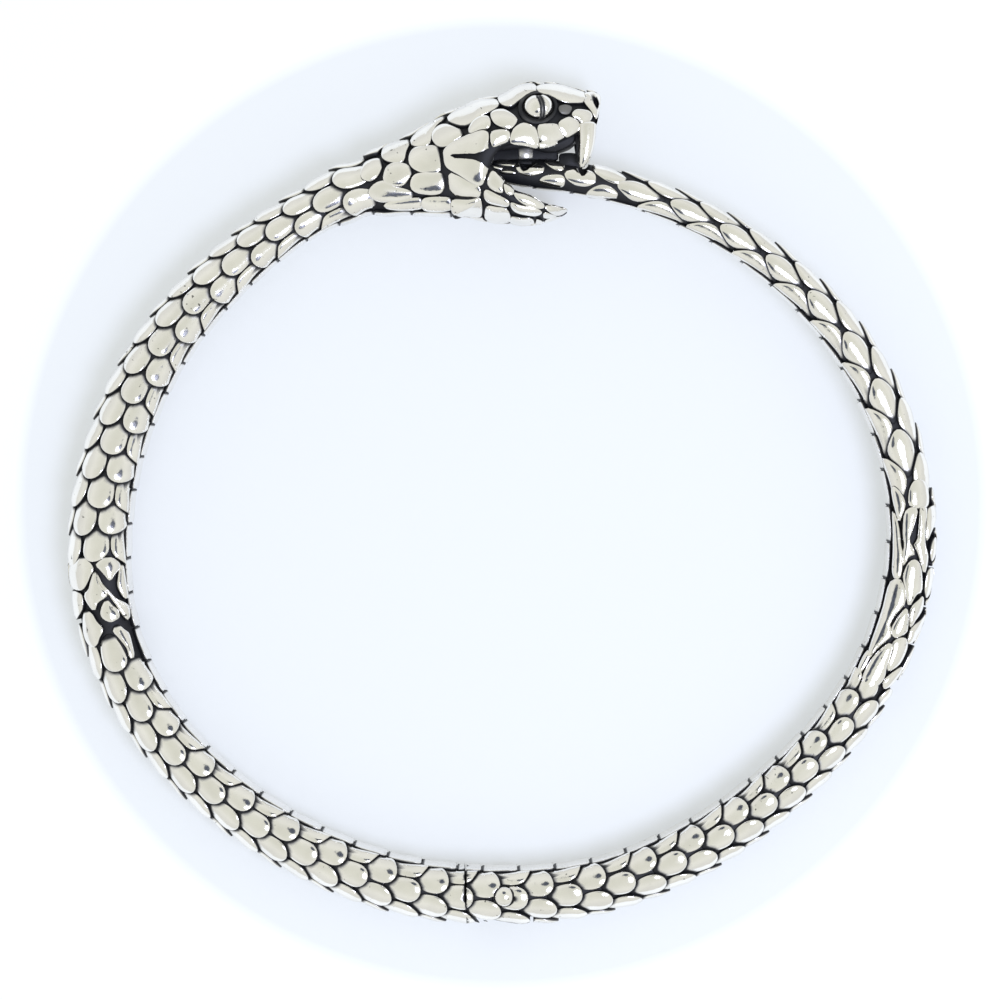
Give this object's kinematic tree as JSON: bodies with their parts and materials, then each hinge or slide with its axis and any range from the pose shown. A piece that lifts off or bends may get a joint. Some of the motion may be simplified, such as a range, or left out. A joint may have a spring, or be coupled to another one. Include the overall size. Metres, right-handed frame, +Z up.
{
  "type": "snake bracelet",
  "caption": "Hinged round bangle shaped as a scaled snake that bites its own tail, with an open mouth, fangs and a riveted hinge.",
  "frame": {"origin": "on the surface the bangle lies on, under the middle of its bounding box", "axes": "+Z up from that surface, along the wrist; +Y from the hinge towards the snake's head; +X towards the tail's side"},
  "size_m": [0.0696, 0.0674, 0.0078],
  "materials": {
    "head_arm": "polished silver, dark in the grooves",
    "tail_arm": "polished silver, dark in the grooves",
    "hinge_pin": "polished silver"
  },
  "bodies": {
    "head_half": {"head_arm": "head_arm"},
    "tail_half": {"tail_arm": "tail_arm", "hinge_pin": "hinge_pin"}
  },
  "joints": [
    {"name": "bangle_hinge", "type": "hinge", "parent": "head_half", "child": "tail_half", "pos_m": [0.00015, -0.03117, 0.00259], "axis": [0, 0.023, -0.9997], "range_deg": [0, 70]}
  ]
}
